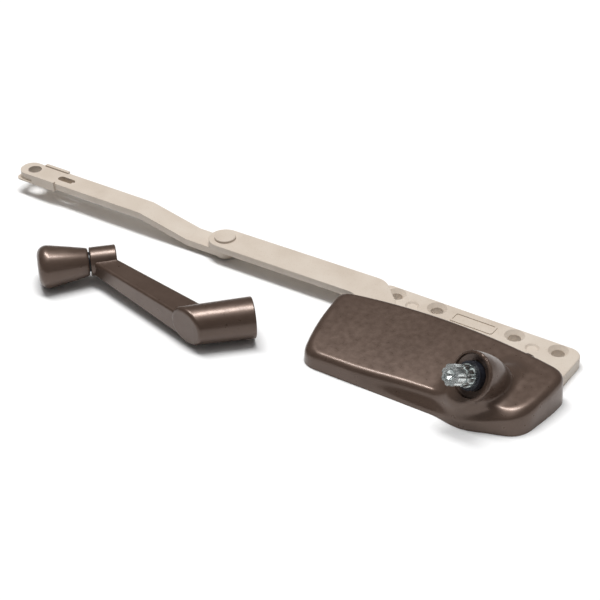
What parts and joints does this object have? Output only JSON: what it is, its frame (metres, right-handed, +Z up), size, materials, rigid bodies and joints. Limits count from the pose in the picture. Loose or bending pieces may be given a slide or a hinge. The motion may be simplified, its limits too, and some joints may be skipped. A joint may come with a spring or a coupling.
{
  "type": "dyad casement window operator with crank",
  "caption": "Two-link casement window operator with a covered worm drive and a straight crank handle laid beside it.",
  "frame": {"origin": "centre of the line of four flange screw holes, on the bottom plane of the base", "axes": "+X along the flange away from the arms, +Y out of the window, +Z up from the sill"},
  "size_m": [0.2909, 0.0811, 0.0304],
  "materials": {
    "cream_paint": "satin baked enamel",
    "brown_paint": "satin brown enamel with a slight metallic sheen",
    "zinc_steel": "bright zinc plate",
    "black_oxide": "black oxide",
    "black_plastic": "matte moulded",
    "white_nylon": "matte moulded",
    "bronze": "plain sintered"
  },
  "bodies": {
    "base": {"base_casting": "cream_paint", "cover": "brown_paint", "pivot_stud": "zinc_steel", "pivot_lower_washer": "white_nylon", "pivot_wave_washer": "zinc_steel", "pivot_retaining_ring": "zinc_steel", "shaft_bushing": "black_plastic", "bushing_snap_ring": "zinc_steel", "shaft_end_bushing": "bronze"},
    "shaft": {"worm_shaft": "zinc_steel", "worm": "zinc_steel", "shaft_thrust_washer": "zinc_steel"},
    "arm": {"main_arm": "cream_paint", "elbow_rivet": "cream_paint", "elbow_washer": "white_nylon"},
    "link": {"link_arm": "cream_paint"},
    "clip": {"lock_clip": "cream_paint"},
    "handle": {"crank_arm": "brown_paint", "set_screw": "black_oxide", "knob_pin": "zinc_steel", "knob_washer": "black_plastic"},
    "knob": {"crank_knob": "brown_paint"}
  },
  "joints": [
    {"name": "arm_swing", "type": "hinge", "parent": "base", "child": "arm", "pos_m": [0.0192, -0.0239, 0.0076], "axis": [0, 0, -1], "range_deg": [0, 105]},
    {"name": "shaft_spin", "type": "hinge", "parent": "base", "child": "shaft", "pos_m": [0.0257, -0.0525, 0.021], "axis": [-0.2753, -0.8474, 0.454], "range_deg": [-2760, 30]},
    {"name": "elbow_fold", "type": "hinge", "parent": "arm", "child": "link", "pos_m": [-0.122, -0.0078, 0.006], "axis": [0, 0, -1], "range_deg": [-15, 135]},
    {"name": "clip_slide", "type": "slide", "parent": "link", "child": "clip", "axis": [-0.9999, -0.0105, 0], "range_m": [0, 0.006]},
    {"name": "handle_lift", "type": "slide", "parent": "base", "child": "handle", "axis": [0, 0, 1], "range_m": [0, 0.06]},
    {"name": "knob_spin", "type": "hinge", "parent": "handle", "child": "knob", "pos_m": [-0.16725, -0.06248, 0.0095], "axis": [-0.7071, -0.7071, 0], "continuous": true}
  ],
  "couplings": [
    {"joint": "shaft_spin", "follows": "arm_swing", "ratio": -26}
  ]
}
